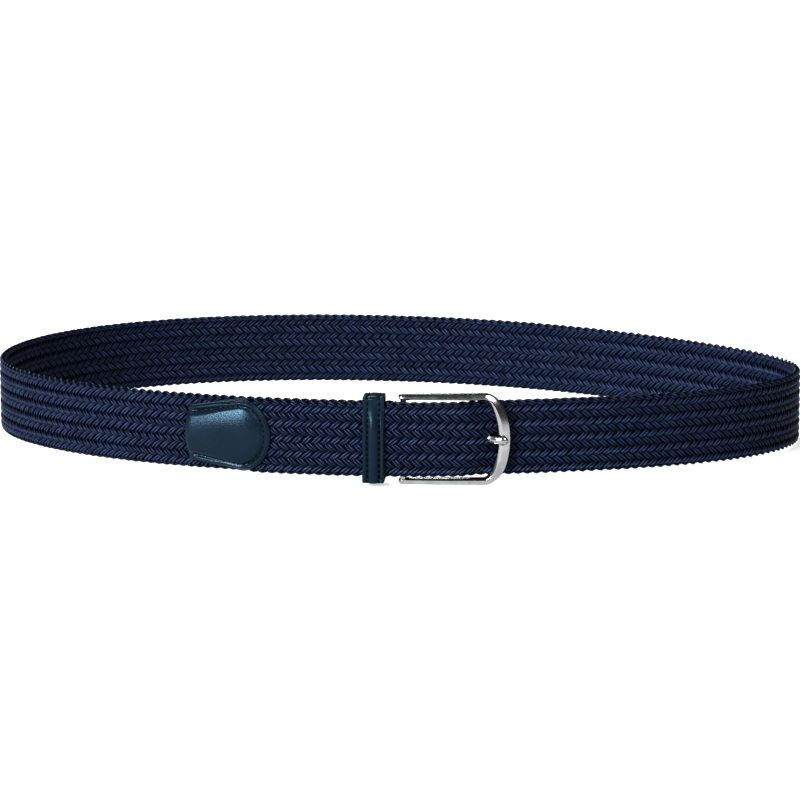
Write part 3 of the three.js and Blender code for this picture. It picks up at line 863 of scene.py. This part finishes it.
def add_camera(stage):
    camera = bpy.data.cameras.new("Camera")
    camera.sensor_width = 36
    camera.lens = stage.lens
    camera.clip_end = 50
    holder = bpy.data.objects.new("Camera", camera)
    aim = Vector((stage.aim[0] + SHIFT[0] * MM, stage.aim[1] + SHIFT[1] * MM, stage.aim[2]))
    back = Vector((0, -math.cos(stage.elevation), math.sin(stage.elevation)))
    holder.location = aim + back * stage.distance
    holder.rotation_euler = (-back).to_track_quat("-Z", "Y").to_euler()
    bpy.context.scene.collection.objects.link(holder)
    bpy.context.scene.camera = holder


def add_floor(stage):
    corners = [(x * FLOOR_HALF, y * FLOOR_HALF, 0) for x, y in ((-1, -1), (1, -1), (1, 1), (-1, 1))]
    mesh = bpy.data.meshes.new("Floor")
    mesh.from_pydata(corners, [], [(0, 1, 2, 3)])
    material, _, _, skin = shader("Pale floor")
    skin.inputs["Base Color"].default_value = (*stage.floor, 1)
    skin.inputs["Roughness"].default_value = 0.9
    skin.inputs["Emission Color"].default_value = WHITE
    skin.inputs["Emission Strength"].default_value = stage.glow
    mesh.materials.append(material)
    floor = bpy.data.objects.new("Floor", mesh)
    bpy.context.scene.collection.objects.link(floor)


def light_world(strength):
    world = bpy.data.worlds.new("Studio")
    bpy.context.scene.world = world
    world.use_nodes = True
    background = world.node_tree.nodes["Background"]
    background.inputs["Color"].default_value = WHITE
    background.inputs["Strength"].default_value = strength


# Settings

def length(name, description, default):
    return bpy.props.FloatProperty(name=name, description=description, default=default, min=0, unit="LENGTH",
                                   subtype="DISTANCE", precision=5)


def colour(name, description, default):
    return bpy.props.FloatVectorProperty(name=name, description=description, default=default, min=0, max=1,
                                         size=3, subtype="COLOR")


def number(name, description, default):
    return bpy.props.FloatProperty(name=name, description=description, default=default)


def turn_angle(name, description, degrees):
    return bpy.props.FloatProperty(name=name, description=description, default=math.radians(degrees),
                                   unit="ROTATION", subtype="ANGLE")


class BeltBraidSettings(bpy.types.PropertyGroup):
    """The braided strap."""
    strands: bpy.props.IntProperty(name="Strands", description="Paired cords that zigzag across the strap",
                                   default=20)
    sides: bpy.props.IntProperty(name="Sides", description="Sides of each round cord", default=8, min=3)
    pitch: length("Pitch", "Distance along the strap from one strand to the next", 0.0044)
    cord_radius: length("Cord radius", "Half the thickness of one cord", 0.00063)
    roundness: number("Edge", "How tightly strands turn at the edges", 0.99)
    hole_place: length("Hole", "Where the prong pierces the strap, from the front", 0.0470)
    hole_length: length("Hole length", "Half the length that the cords are parted over", 0.0016)
    hole_width: length("Hole width", "Half the width that the cords are parted over", 0.0021)
    hole_spread: number("Spread", "How far the parting reaches", 2.2)
    # Dark is the colour of the painted shade on the cords' sides and where they dive, light the colour of the
    # painted highlight along their tops.
    dark: colour("Dark", "Tone of the cords where they are hidden", (0.0008, 0.0025, 0.009))
    light: colour("Light", "Tone of the cords where they lie on top", (0.047, 0.069, 0.138))


class BeltLeatherSettings(bpy.types.PropertyGroup):
    """Tip, keeper and chape."""
    tip_margin: length("Tip margin", "From the tip's outline to its stitching", 0.003)
    tip_puff: length("Tip puff", "How far the tip's middle stands proud", 0.0024)
    keeper_margin: length("Keeper margin", "From the keeper's edges to its stitching", 0.0022)
    stitch: length("Stitch", "Length of one stitch", 0.0026)
    dark: colour("Dark", "Darker tone of the leather", (0.009, 0.0180, 0.030))
    light: colour("Light", "Lighter tone of the leather", (0.012, 0.0235, 0.039))
    thread_dark: colour("Thread, dark", "Darker tone of the thread", (0.001, 0.002, 0.004))
    thread_light: colour("Thread, light", "Lighter tone of the thread", (0.003, 0.006, 0.010))


class BeltBuckleSettings(bpy.types.PropertyGroup):
    """Frame, bar and prong."""
    crease: turn_angle("Crease", "Edges sharper than this stay crisp", 38)
    dark: colour("Dark", "Darker tone of the metal", (0.42, 0.425, 0.43))
    light: colour("Light", "Lighter tone of the metal", (0.50, 0.505, 0.51))


class BeltStageSettings(bpy.types.PropertyGroup):
    """Camera, floor and lights."""
    elevation: turn_angle("Elevation", "How far above level the camera looks from", 11.5)
    distance: length("Distance", "From the camera to what it aims at", 1.942)
    lens: number("Lens", "Focal length, in millimetres", 179.7)
    aim: bpy.props.FloatVectorProperty(name="Aim", description="What the camera aims at", size=3, unit="LENGTH",
                                       subtype="XYZ", default=(0.0017, -0.0335, 0.02125))
    floor: colour("Floor", "Colour of the floor", (0.4, 0.4, 0.4))
    glow: number("Glow", "Light from below, through the floor", 0.68)
    world: number("World", "Strength of the light from all round", 0.1)
    key: number("Key", "Strength of the main light", 6.4)
    side: number("Side", "Strength of the light from the right", 1.3)
    back: number("Back", "Strength of the light from behind", 2.8)
    gamma: number("Gamma", "Tone curve of the picture; less is darker", 0.68)


# Operators

class BELT_OT_stage(bpy.types.Operator):
    """Set up the floor, the lights and the camera"""
    bl_idname = "belt.stage"
    bl_label = "Stage"

    def execute(self, context):
        stage = context.scene.belt_stage
        add_camera(stage)
        add_floor(stage)
        light_world(stage.world)
        for name, heading, elevation, spread in LIGHTS:
            add_light(name, heading, elevation, spread, getattr(stage, name.lower()))
        context.scene.view_settings.view_transform = "Standard"
        context.scene.view_settings.gamma = stage.gamma
        return {"FINISHED"}


class BELT_OT_braid(bpy.types.Operator):
    """Braid the strap from paired cords"""
    bl_idname = "belt.braid"
    bl_label = "Braided strap"

    def execute(self, context):
        braid = context.scene.belt_braid
        material = braid_material(braid)
        # The core gets no painted-light attribute, so it shows the braid's dark painted-shade tone.
        add_piece("strap_core", [braid_core()], material, "strap")
        for group in range(BRAID_GROUPS):
            strands = range(group, braid.strands, BRAID_GROUPS)
            cords = [braid_cord(strand, side, braid) for strand in strands for side in (-1, 1)]
            # The painted highlight and shade of every cord, one share for each point.
            fibre = np.concatenate([painted_light_share.ravel() for _, painted_light_share in cords])
            parts = [part for part, _ in cords]
            piece = add_piece(f"strap_braid_{group + 1}", parts, material, "strap", fibre=fibre)
        return {"FINISHED"}


class BELT_OT_tip(bpy.types.Operator):
    """Fold and stitch the leather of the free end"""
    bl_idname = "belt.tip"
    bl_label = "Tip"

    def execute(self, context):
        leather = context.scene.belt_leather
        skin = add_piece("tip_patch", [tip_sheet(leather)], leather_of(context), "tip_leather")
        places, facing = tip_seam(leather)
        stitches(places, facing, leather.stitch, thread_of(context), "tip_stitching")
        return {"FINISHED"}


class BELT_OT_keeper(bpy.types.Operator):
    """Bend and stitch the leather keeper"""
    bl_idname = "belt.keeper"
    bl_label = "Keeper"

    def execute(self, context):
        leather = context.scene.belt_leather
        loop = add_piece("keeper_band", [keeper_body(leather)], leather_of(context), "keeper_loop")
        for name, side in (("left", -1), ("right", 1)):
            places, facing = keeper_seam(side, leather)
            thread = stitches(places, facing, leather.stitch, thread_of(context), f"keeper_stitching_{name}")
        return {"FINISHED"}


class BELT_OT_chape(bpy.types.Operator):
    """Fold the leather round the bar"""
    bl_idname = "belt.chape"
    bl_label = "Chape"

    def execute(self, context):
        half = HALF_WIDTH - CHAPE_INSET
        slot = PRONG_WIDTH / 2 + 2 * GAP
        strips = [chape_strip(-half, -slot, LEATHER / 2), chape_strip(slot, half, LEATHER / 2)]
        add_piece("chape_fold", strips, leather_of(context), "chape_leather")
        return {"FINISHED"}


class BELT_OT_buckle(bpy.types.Operator):
    """Cast the D frame with its bar, and the prong"""
    bl_idname = "belt.buckle"
    bl_label = "Buckle"

    def execute(self, context):
        buckle = context.scene.belt_buckle
        metal = metal_material(buckle)
        rim = add_piece("buckle_rim", [frame_body(), bar_body()], metal, "buckle_frame", buckle.crease)
        pin = add_piece("buckle_pin", prong_bodies(), metal, "buckle_prong", buckle.crease)
        return {"FINISHED"}


def leather_of(context):
    return bpy.data.materials.get("Smooth leather") or leather_material(context.scene.belt_leather)


def thread_of(context):
    return bpy.data.materials.get("Waxed thread") or thread_material(context.scene.belt_leather)


class BELT_PT_sidebar(bpy.types.Panel):
    """Lists the belt's steps and settings"""
    bl_idname = "BELT_PT_sidebar"
    bl_label = "Stretch Belt"
    bl_space_type = "VIEW_3D"
    bl_region_type = "UI"
    bl_category = "Belt"

    def draw(self, context):
        for operator, owner, names in PANEL_ROWS:
            box = self.layout.box()
            box.operator(operator.bl_idname)
            for name in names:
                box.prop(getattr(context.scene, owner), name)


PANEL_ROWS = (
    (BELT_OT_stage, "belt_stage", ("elevation", "distance", "lens", "aim", "floor", "glow", "world", "key", "side",
                                   "back", "gamma")),
    (BELT_OT_braid, "belt_braid", ("strands", "sides", "pitch", "cord_radius", "roundness", "dark", "light",
                                   "hole_place", "hole_length", "hole_width", "hole_spread")),
    (BELT_OT_tip, "belt_leather", ("tip_margin", "tip_puff", "stitch", "dark", "light")),
    (BELT_OT_keeper, "belt_leather", ("keeper_margin", "thread_dark", "thread_light")),
    (BELT_OT_chape, "belt_leather", ()),
    (BELT_OT_buckle, "belt_buckle", ("crease", "dark", "light")),
)
SETTINGS = {
    "belt_braid": BeltBraidSettings,
    "belt_leather": BeltLeatherSettings,
    "belt_buckle": BeltBuckleSettings,
    "belt_stage": BeltStageSettings,
}


def register():
    for group in SETTINGS.values():
        bpy.utils.register_class(group)
    for operator, _, _ in PANEL_ROWS:
        bpy.utils.register_class(operator)
    bpy.utils.register_class(BELT_PT_sidebar)
    for owner, group in SETTINGS.items():
        setattr(bpy.types.Scene, owner, bpy.props.PointerProperty(type=group))


def unregister():
    for owner in SETTINGS:
        delattr(bpy.types.Scene, owner)
    bpy.utils.unregister_class(BELT_PT_sidebar)
    for operator, _, _ in PANEL_ROWS:
        bpy.utils.unregister_class(operator)
    for group in SETTINGS.values():
        bpy.utils.unregister_class(group)


def main():
    register()
    bpy.ops.belt.stage()
    bpy.ops.belt.braid()
    bpy.ops.belt.tip()
    bpy.ops.belt.keeper()
    bpy.ops.belt.chape()
    bpy.ops.belt.buckle()


if __name__ == "__main__":
    main()
